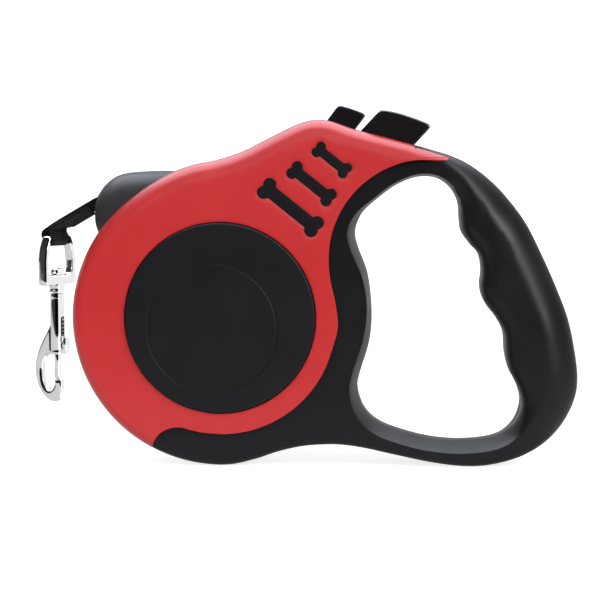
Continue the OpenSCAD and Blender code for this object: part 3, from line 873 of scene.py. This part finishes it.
def make_cap(rear):
    """A flat cap with a rounded rim and a faint ring, set off its middle."""
    loop = ring(0, 0, 32.8, 240)
    cx, cz, gr = -2.7, -3.7, 22.2
    near_ring = np.vstack([ring(cx, cz, gr + d, 200) for d in (-1.1, -0.45, -0.3, -0.15, 0, 0.15, 0.3, 0.45, 1.1)])

    def lift(P):
        d = np.hypot(P[:, 0] - cx, P[:, 1] - cz) - gr
        return 15.0 + 0.8 * quarter(loop_dist(P, loop) / 0.8) - 0.2 * np.exp(-(d / 0.22) ** 2)

    b = plate([(loop, [0.8 * t for t in thetas(20, 40, 60, 75, 90)])], lift,
              lambda k, h: [h - 1.0, h - 2.1], 2.0, extra=near_ring)
    casing_skin(b, "cap_skin", rear, 1.0, CAP, "cap_black", "cap")


for rear in (False, True):
    make_shell(rear)
    make_cover(rear)
    make_bones(rear)
    make_cap(rear)


# ---- nozzle
# Along the snout: place, top, bottom, half width
SNOUT = [(-12, 49.6, 34, 7.6), (-16, 50.2, 33, 8.6), (-20, 50.4, 32, 9.3), (-25, 50.3, 30, 9.8), (-30, 50.0, 28.5, 9.9),
         (-34, 49.5, 27, 9.9), (-36.8, 48.6, 26.4, 9.85), (-39, 47.3, 26.2, 9.7), (-40.8, 45.8, 26.4, 9.4),
         (-42.1, 44.4, 27.2, 8.9), (-42.95, 43.2, 28.4, 8.3), (-43.5, 42.3, 29.8, 7.7), (-43.8, 41.9, 31.0, 7.2)]
# Along the tape's mouth: place, growth towards the front
MOUTH = ((-30.0, 0.0), (-42.7, 0.0), (-43.3, 0.06), (-43.7, 0.2), (-44.0, 0.45), (-46.0, 3.0))


def make_nozzle():
    """A rounded snout, lofted along its length, with the tape's mouth cut into its front."""
    knots = np.array(SNOUT)
    rings = []
    for (x, top), (_, low), (_, half) in zip(*[spline(knots[:, [0, k]], 4, False) for k in (1, 2, 3)]):
        section = []
        for a in steps(84):
            c, s = cos(a), sin(a)
            square = 0.96 if s > 0 else 0.8
            y, up = half * copysign(abs(c) ** square, c), copysign(abs(s) ** square, s)
            section.append((x + 0.25 * up * float(smooth(-38, -44, x)), y, (top + low) / 2 + (top - low) / 2 * up))
        rings.append(section)
    # one more ring on the flat front gives the cut clean neighbours
    front = np.array(rings[-1])
    rings.append(list(front.mean(0) + (front - front.mean(0)) * 0.93 + np.array([-0.12, 0, 0])))
    ob = new_object("nozzle_snout", sweep(rings), reel_m, 40, GREY)
    outward(ob)
    mouth = round_corners([(-5.8, 34.6), (5.8, 34.6), (5.8, 41.2), (-5.8, 41.2)], 1.6, 6)
    cz = 37.9
    tool = new_object("mouth_tool", sweep([[(x, y * (1 + grow / 5.8), cz + (z - cz) * (1 + grow / 4.0))
                                            for y, z in mouth] for x, grow in MOUTH]), reel_m, 0, GREY)
    outward(tool)
    apply_cut(ob, tool)
    shade(ob, 34)
    done(ob, "casing", "nozzle_grey", "nozzle")


make_nozzle()


# ---- thumb buttons
def make_button(name, body, matrix, top, back_z, front_z, half, bevel, grid, step, lip, leg, tip, leg_top):
    """A thumb piece with a rounded top, a thin lip round its foot, and a leg that ends in a pawl."""
    crown = spline(top, 6, False)
    x0, x1 = top[0][0], crown[-1][0]
    b = slab_piece(([(x0, back_z)] + [tuple(p) for p in crown] + [(x1, front_z)])[::-1], half, bevel, grid, step)
    foot = [(x0, back_z - 1.5), (x0, back_z + lip), (x1, front_z + lip), (x1, front_z - 1.5)]
    b.join(slab_piece(round_corners(foot[::-1], 0.3, 3), half + 1.1, 0.3, grid=2.5, step=0.8))
    b.join(rod_box(-leg, leg, -6.9, 6.9, tip, leg_top, 0.5))
    ob = weld(new_object(f"{name}_thumb_piece", b, matrix, 0, GLOSS), 36)
    done(ob, body, "button_black", f"{name}_button")


make_button("brake", "brake", brake_m,
            [(-8.6, 88.9), (-7.8, 90.2), (-4, 92.7), (0, 94.7), (4, 96.4), (7, 97.4), (8.2, 96.6)],
            back_z=74.5, front_z=83.5, half=7.5, bevel=0.9, grid=1.6, step=0.6, lip=0.3, leg=2.3, tip=BRAKE_TIP,
            leg_top=84)
make_button("lock", "lock", lock_m, [(-4.9, 81.9), (-4.1, 83), (0, 84.6), (3.8, 85.6), (4.7, 85)],
            back_z=71, front_z=74.6, half=6.0, bevel=0.7, grid=1.3, step=0.5, lip=0.1, leg=1.9, tip=LOCK_TIP,
            leg_top=72.1)


# ---- tape
def ribbon_section(centre, half_w, normal, thick):
    """A ring of points round a flat tape with rounded edges."""
    e, cols = 0.3, 12
    w = half_w.length
    u = half_w / w
    xs = [(-w + e) + (2 * (w - e)) * i / cols for i in range(cols + 1)]

    def edge(side, angles):
        return [centre + u * (side * (w - e) + e * cos(radians(a)))
                + normal * ((thick / 2) * sin(radians(a))) for a in angles]

    return ([centre + u * x + normal * (thick / 2) for x in xs] + edge(1, (45, 0, -45))
            + [centre + u * x - normal * (thick / 2) for x in xs[::-1]] + edge(-1, (-135, 180, 135)))


def wound_strip(path, y0, y1, thick):
    """A flat strip along a path of (angle, outer radius) about the reel."""
    return sweep([[(cos(a) * r0, y, sin(a) * r0) for r0, y in ((r, y0), (r, y1), (r - thick, y1), (r - thick, y0))]
                  for a, r in path])


def make_winding():
    per, turns, layer = 72, 26, 0.76
    path = [(radians(94.4) + 2 * pi * turns * u, 40.8 - 20.4 * u + layer / 2)
            for u in np.arange(turns * per + 1) / (turns * per)]
    b = wound_strip(path, -5, 5, layer)
    done(new_object("wound_tape", b, reel_m, 40, WEB), "reel", "tape_black", "tape_winding")


TAPE_HALF, LOOP_HALF, TAPE_T = 5, 4.5, 0.86
# Outer faces of the sewn end's two layers above the bar, and its length along the run
TOP_FACE, LOW_FACE, SEWN = 4.3, 2.4, 19.2
run = vec(-sin(SKEW), cos(SKEW), 0)
across = vec(cos(SKEW), sin(SKEW), 0)


def make_tape_run():
    """The tape from the winding to the hook's bar, round it and back to its sewn end."""
    top_z, low_z = TOP_FACE - TAPE_T / 2, LOW_FACE + TAPE_T / 2
    m3 = strap_l.to_3x3()
    secs = []

    def local(c, h, n):
        secs.append((strap_l @ c, m3 @ h, (m3 @ n).normalized(), TAPE_T))

    # straight feed, level across, from the winding to inside the nozzle
    p0, p1 = vec(-3.2, 0, 42.05), vec(-36.5, 0, 39.45)
    d0 = (p1 - p0).normalized()
    n0 = vec(d0.z, 0, -d0.x)
    level = vec(0, TAPE_HALF, 0)
    secs += [(p0.lerp(p1, i / 30), level, n0, 0.8) for i in range(30)]
    # a soft bend and twist inside the mouth
    end_c = strap_l @ (run * SEWN + vec(0, 0, top_z))
    end_n = (m3 @ vec(0, 0, 1)).normalized()
    end_h = m3 @ (across * TAPE_HALF)
    side = -1 if end_h.y < 0 else 1
    end_h *= side
    d1 = (m3 @ -run).normalized()
    span = (end_c - p1).length
    for i in range(34):
        u = i / 34
        h00, h10 = 2 * u ** 3 - 3 * u ** 2 + 1, u ** 3 - 2 * u ** 2 + u
        h01, h11 = -2 * u ** 3 + 3 * u ** 2, u ** 3 - u ** 2
        c = p1 * h00 + d0 * (h10 * span) + end_c * h01 + d1 * (h11 * span)
        s = float(smooth(0, 1, u))
        h = level.lerp(end_h, s).normalized()
        n = n0.lerp(end_n, s).normalized()
        secs.append((c, h * TAPE_HALF, (n - h * n.dot(h)).normalized(), 0.8 + 0.06 * s))
    # upper layer of the sewn end
    wide, bar = across * TAPE_HALF * side, vec(1, 0, 0) * side
    for i in range(41):
        l = SEWN + (1.4 - SEWN) * i / 40
        s = float(smooth(5.0, 1.4, l))
        local(run * l + vec(-run.x * l * s * 0.35, 0, top_z), wide.lerp(bar * LOOP_HALF, s), vec(0, 0, 1))
    # over the top, down, under the bar and up
    r = 1.85
    for a in range(80, -1, -10):
        c, s = cos(radians(a)), sin(radians(a))
        local(vec(0, -r * c, 2.0 + (top_z - 2.0) * s), bar * LOOP_HALF, vec(0, -c, s))
    for z in (1.5, 1.0, 0.5):
        local(vec(0, -r, z), bar * LOOP_HALF, vec(0, -1, 0))
    for a in range(180, 361, 12):
        out = vec(0, cos(radians(a)), sin(radians(a)))
        local(out * r, bar * (LOOP_HALF - 0.7 * out.z ** 2), out)
    # out of the loop into the lower layer
    bend_r, bend_y, bend_z = 1.3, r + 1.3, 1.35
    for a in (180, 165, 150, 135, 120, 105, 92):
        out = vec(0, cos(radians(a)), sin(radians(a)))
        local(vec(0, bend_y + bend_r * out.y, bend_z + (low_z - bend_z) * out.z), bar * LOOP_HALF, -out)
    for i in range(1, 31):
        l = bend_y + (15.6 - bend_y) * i / 30
        s = float(smooth(3.2, 7.0, l))
        local(vec(run.x * l * s, run.y * l * s + l * (1 - s), low_z), (bar * LOOP_HALF).lerp(wide, s), vec(0, 0, -1))
    ob = new_object("tape_run", sweep([ribbon_section(*s) for s in secs]), reel_m, 50, WEB)
    outward(ob)
    shade(ob, 60)
    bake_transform(ob)
    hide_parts("tape_feed", "tape_end")


def make_stitching():
    """Three rows of stitches across the sewn end and one along each edge, on both faces."""
    b = Build()

    def stitch(p, d, up):
        side, sections, length, rad = d.cross(up).normalized(), [], 0.85, 0.17
        for f, k in ((0.0, 0.25), (0.12, 0.8), (0.3, 1.0), (0.7, 1.0), (0.88, 0.8), (1.0, 0.25)):
            c = p + d * (length * f) + up * (0.1 * sin(pi * f) - 0.05)
            sections.append([c + (side * cos(a) + up * sin(a)) * rad * k for a in steps(8)])
        b.join(sweep(sections))

    for face, z in ((1, TOP_FACE), (-1, LOW_FACE)):
        up, lift = vec(0, 0, face), vec(0, 0, z)
        for l in (5.4, 7.0, 14.6):
            for k in range(7):
                stitch(run * l + across * (-4.1 + k * 1.2) + lift, across, up)
        for w in (-4.1, 4.1):
            for k in range(6):
                stitch(run * (7.3 + k * 1.22) + across * w + lift, run, up)
    done(new_object("tape_stitching", b, reel_m @ strap_l, 0, THREAD), "leash_end", "tape_black")


make_winding()
make_tape_run()
make_stitching()


# ---- swivel eye and snap hook
def make_eye():
    # the two arms and the plate are one cast frame, open where the tape's loop holds the bar
    right = [(8.0, -16), (8.05, -7.2), (7.5, -3.2), (6.5, -0.6), (5.6, 1.0), (4.95, 1.25), (4.9, -1.7), (5.6, -3.6),
             (6.15, -7.2), (6.2, -12.4)]
    radii = [1.6, 3.4, 2.6, 2.4, 0.7, 0.3, 0.8, 2.4, 3.0, 1.8]
    line = round_corners(right + [(-x, z) for x, z in right[::-1]], radii + radii[::-1], 6)
    b = slab_piece(line, 1.95, 0.85, grid=0.9, step=0.32)
    bar = lathe([(0, -5.6), (1.0, -5.55), (1.25, -5.3), (1.22, -2), (1.2, 0), (1.22, 2), (1.25, 5.3), (1.0, 5.55),
                 (0, 5.6)], 40)
    b.join(bar, turn(90, "Y"))
    b.join(lathe([(1.62, -15.6), (3.0, -15.6), (3.05, -15.9), (3.0, -16.4), (2.7, -16.9), (2.62, -17.3), (2.75, -17.7),
                  (2.98, -18.0), (2.98, -18.3), (2.75, -18.6), (1.62, -18.6), (1.62, -15.6)], 56))
    ob = weld(new_object("swivel_stirrup", b, eye_m, 0, CHROME), 0)
    outward(ob)
    shade(ob, 40)
    done(ob, "eye", "hook_chrome", "swivel_eye")


def make_hook():
    outer = spline([(-1.5, -28.5), (-4.8, -33.6), (-7.8, -38.6), (-9.6, -44), (-9.4, -49), (-7.2, -53.8),
                    (-3, -57), (0.6, -56.6), (2.3, -53.6), (2.4, -49.3)], 8, False)
    inner = spline([(-0.8, -49.3), (-1.1, -51.6), (-3.1, -53.2), (-5.4, -51.4), (-6.3, -47.4), (-6.1, -43.4),
                    (-4.6, -40.9), (-1.5, -40.3)], 8, False)

    def fade(P, y):
        # the cast arm thins at the tip's mouth
        return y * (1 - 0.18 * smooth(-47, -50, P[:, 1]) * smooth(-2.0, 1.0, P[:, 0]))

    cast = weld(new_object("hook_cast_tmp", slab_piece(np.vstack([outer, inner]), 1.7, 1.25, 0.8, 0.3, fade), None, 0,
                           CHROME), 0)
    barrel = lathe([(0, -40.4), (1.3, -40.4), (2.2, -40.4), (2.42, -40.25), (2.5, -39.9), (2.5, -39.2), (2.44, -38.9),
        (2.5, -38.6), (2.5, -30), (2.5, -21.2), (2.44, -20.9), (2.5, -20.6), (2.5, -19.4), (2.42, -19.05),
        (2.2, -18.9), (1.5, -18.9), (1.5, -18.4), (1.5, -12.6), (1.9, -12.3), (2.25, -12.2), (2.4, -11.9),
        (2.38, -11.3), (2.1, -10.6), (1.5, -10.1), (0.8, -9.92), (0, -9.9)], 64)
    ob = new_object("snap_hook", barrel, None, 0, CHROME)
    bore = lathe([(0, -43), (1.3, -43), (1.3, -22.4), (0, -22.4)], 40)
    apply_cut(ob, new_object("bore_tool", bore, None, 0, CHROME))
    slot = round_corners([(-0.95, -38.6), (0.95, -38.6), (0.95, -27), (-0.95, -27)], 0.9, 6)
    tool = new_object("slot_tool", sweep([[(x, y, z) for y, z in slot] for x in (0.2, 5.0)]), None, 0, CHROME)
    outward(tool)
    apply_cut(ob, tool)
    edit(ob, lambda bm: bm.from_mesh(cast.data))
    outward(ob)
    ob.data.transform(hook_m)
    bpy.data.objects.remove(cast)
    shade(ob, 40)
    done(ob, "hook", "hook_chrome", "hook_body")


def make_bolt():
    b = lathe([(0, -49.1), (0.7, -49.05), (1.05, -48.85), (1.22, -48.4), (1.22, -42), (1.22, -34.4), (1.0, -34.05),
               (0, -34)], 40)
    b.join(rod_box(0.2, 3.5, -0.7, 0.7, -38.3, -35.9, 0.3))
    # a teardrop thumb knob, slimmer at its upper end
    knob = lathe([(0, -40.5), (0.5, -40.45), (0.9, -40.1), (1.15, -39.3), (1.4, -38.2), (1.58, -37.1), (1.6, -36.2),
                  (1.48, -35.2), (1.2, -34.4), (0.7, -33.95), (0, -33.85)], 40)
    b.join(knob, Matrix.Translation((4.05, 0, 0)) @ Matrix.Diagonal((0.66, 0.94, 1.0, 1.0)))
    done(new_object("sliding_bolt", b, hook_m, 40, CHROME), "bolt", "hook_chrome", "hook_bolt")


make_eye()
make_hook()
make_bolt()


# ---- springs and screws
def make_return_spring(name, matrix, foot, r, wire, length, turns, body, node):
    """A coil spring set on its foot."""
    foot = Vector(foot)
    ob = new_object(name, coil(r, wire, length, turns), matrix @ Matrix.Translation(foot), 40, SPRING)
    done(ob, body, "spring_steel", node)
    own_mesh(ob)


make_return_spring("bolt_return_spring", hook_m, (0, 0, -34), 1.15, 0.17, 11.6, 9, "hook",
                   "bolt_spring")
make_return_spring("brake_return_spring", brake_m, (-5.9, 0, 62), 2.2, 0.3, 11.0, 7, "casing",
                   "brake_spring")


def make_power_spring():
    per, turns, pitch, run_in, start = 72, 10, 0.5, 1.25, 28.3
    tight = start - turns * pitch
    radii = [start - pitch * i / per for i in range(turns * per + 1)]
    n_in = int(run_in * per)
    radii += [tight - (tight - 3.4) * i / n_in for i in range(1, n_in + 1)]
    path = [(-radians((len(radii) - 1 - i) * 360 / per), r) for i, r in enumerate(radii)]
    b = wound_strip(path, 7.3, 10.9, 0.25).join(rod_box(2.0, 3.3, 7.3, 10.9, -0.12, 0.12, 0.05))
    done(new_object("drive_spring", b, reel_m, 40, SPRING), "reel", "spring_steel", "power_spring")


def make_casing_screws():
    """Cross-recessed screws, with rings for threads."""
    head_r, head_h, shank_r, length, cross_r = 2.6, 1.7, 1.25, 16.0, 1.5
    loop = ring(0, 0, head_r, 56)

    def lift(P):
        dome = head_h - 0.12 * (np.hypot(P[:, 0], P[:, 1]) / head_r) ** 2
        arm, far = np.abs(P).min(1), np.abs(P).max(1)
        return (dome - 0.35 * (1 - quarter(loop_dist(P, loop) / 0.35))
                - 0.8 * (1 - smooth(0.28, 0.42, arm)) * (1 - smooth(cross_r * 0.8, cross_r, far)))

    p = plate([(loop, [0.35 * t for t in thetas(30, 60, 90)])], lift,
              lambda k, h: [h * 0.5, 0.0, (0.0, head_r - shank_r)], 0.16)
    profile = [(0, -length), (shank_r * 0.4, -length + 0.1)]
    z = -length + 0.8
    while z < -0.5:
        profile += [(shank_r * 0.86, z), (shank_r * 0.99, z + 0.28), (shank_r * 0.86, z + 0.56)]
        z += 0.75
    profile += [(shank_r * 0.9, -0.3), (shank_r * 0.9, 0.05)]
    screw = Build().add([(x, z, -y) for x, y, z in p.v], p.f).join(lathe(profile, 24))
    b = Build()
    for i, (x, z) in enumerate(SCREWS):
        b.join(screw, Matrix.Translation((x, 8.5, z)) @ turn(-90, "X") @ Matrix.Rotation(0.4 + i * 0.9, 4, "Z"))
    done(new_object("casing_screw_set", b, reel_m, 40, STEEL), "casing", "screw_steel", "casing_screws")


make_casing_screws()
make_power_spring()

# CAD nodes that stay: each gets its own material
for name, mat in (("reel_axle", STEEL), ("axle_screw", STEEL), ("reel_screws", STEEL), ("reel_washers", NYLON),
                  ("reel_drum", REEL_PLASTIC), ("reel_flange", REEL_PLASTIC), ("spring_cover", REEL_PLASTIC)):
    slots = frame["nodes"][name].data.materials
    slots.clear()
    slots.append(mat)


# ---- stage and light
def paper(name, lens_glow, glow):
    """Pale paper that the lens sees as plain white; glow is what it gives to everything else."""
    m = material(name, (0.55, 0.55, 0.55, 1), 0.85, specular=0.1)
    tree = m.node_tree
    shader = tree.nodes["Principled BSDF"]
    shader.inputs["Emission Color"].default_value = (1, 1, 1, 1)
    strength = node(tree, "Math")
    strength.operation = "MULTIPLY_ADD"
    strength.inputs[1].default_value, strength.inputs[2].default_value = lens_glow, glow
    tree.links.new(node(tree, "LightPath").outputs["Is Camera Ray"], strength.inputs[0])
    tree.links.new(strength.outputs["Value"], shader.inputs["Emission Strength"])
    return m


def stage_sheet(name, profile, mat):
    """A wide sheet that follows a profile of (y, z) points."""
    xs = [-4, -2, -1, -0.3, 0, 0.3, 1, 2, 4]
    m = len(xs)
    b = Build()
    b.v = [(x, y, z - 0.0003) for y, z in profile for x in xs]
    b.f = [(k * m + i, k * m + i + 1, (k + 1) * m + i + 1, (k + 1) * m + i)
           for k in range(len(profile) - 1) for i in range(m - 1)]
    new_object(name, b, None, 0, mat)


def make_stage():
    """A pale floor, and a bright paper wall that curves up behind it."""
    floor_front, bend_r, wall_y = -0.23, 0.5, 0.7
    curve = [(wall_y + bend_r * sin(a), bend_r - bend_r * cos(a)) for a in [pi / 24 * k for k in range(13)]]
    stage_sheet("floor", [(y, 0.0) for y in (floor_front, -0.1, 0.2, 0.45, wall_y)], paper("floor_paper", 0.55, 0.25))
    stage_sheet("backdrop", curve + [(wall_y + bend_r, z) for z in (1.2, 2.4)], paper("wall_paper", 0.6, 0.45))


def make_world(strength):
    """A bright room, dimmer overhead and dark behind the camera, which the lens sees as plain white."""
    world = bpy.data.worlds.new("soft_room")
    bpy.context.scene.world = world
    world.use_nodes = True
    tree = world.node_tree
    place = node(tree, "SeparateXYZ", Vector=node(tree, "TexCoord").outputs["Generated"])
    side = ranged(tree, place.outputs["Y"], (-0.93, -0.72), (0.02 * strength, strength), "SMOOTHSTEP")
    above = ranged(tree, place.outputs["Z"], (0.15, 0.85), (1.0, 0.25), "SMOOTHSTEP")
    both = node(tree, "Math")
    both.operation = "MULTIPLY"
    tree.links.new(side, both.inputs[0])
    tree.links.new(above, both.inputs[1])
    room = tree.nodes["Background"]
    tree.links.new(both.outputs["Value"], room.inputs["Strength"])
    white = node(tree, "Background", {"Color": (1, 1, 1, 1)})
    mix = node(tree, "MixShader", Fac=node(tree, "LightPath").outputs["Is Camera Ray"])
    tree.links.new(room.outputs["Background"], mix.inputs[1])
    tree.links.new(white.outputs["Background"], mix.inputs[2])
    tree.links.new(mix.outputs["Shader"], tree.nodes["World Output"].inputs["Surface"])


def area_light(name, place, size, watts, look=(0, 0, 0.06), diffuse=True, glossy=True, colour=(1, 1, 1)):
    data = bpy.data.lights.new(name, "AREA")
    data.shape, data.size, data.size_y = "RECTANGLE", size[0], size[1]
    data.energy, data.color = watts, colour
    ob = add_object(name, data, place, Vector(look) - Vector(place))
    ob.visible_diffuse, ob.visible_glossy = diffuse, glossy


make_stage()
make_world(0.95)
area_light("overhead_gloss", (0.0, 0.15, 1.0), (1.6, 1.1), 30.0, diffuse=False, colour=(0.85, 0.9, 1.0))
area_light("front_fill", (0.0, -1.3, 0.7), (1.4, 1.0), 15.0, glossy=False)
area_light("right_side", (0.85, -0.6, 0.6), (0.3, 0.8), 9.0)
area_light("left_side", (-1.0, -0.55, 0.45), (0.3, 0.9), 3.0, glossy=False)
# a small bright card beside the hook, for the chrome alone
area_light("hook_card", (-0.0803, 0, 0.044), (0.034, 0.064), 0.0064, look=(-0.2, 0, 0.044), diffuse=False)
bpy.context.scene.view_settings.view_transform = "Standard"
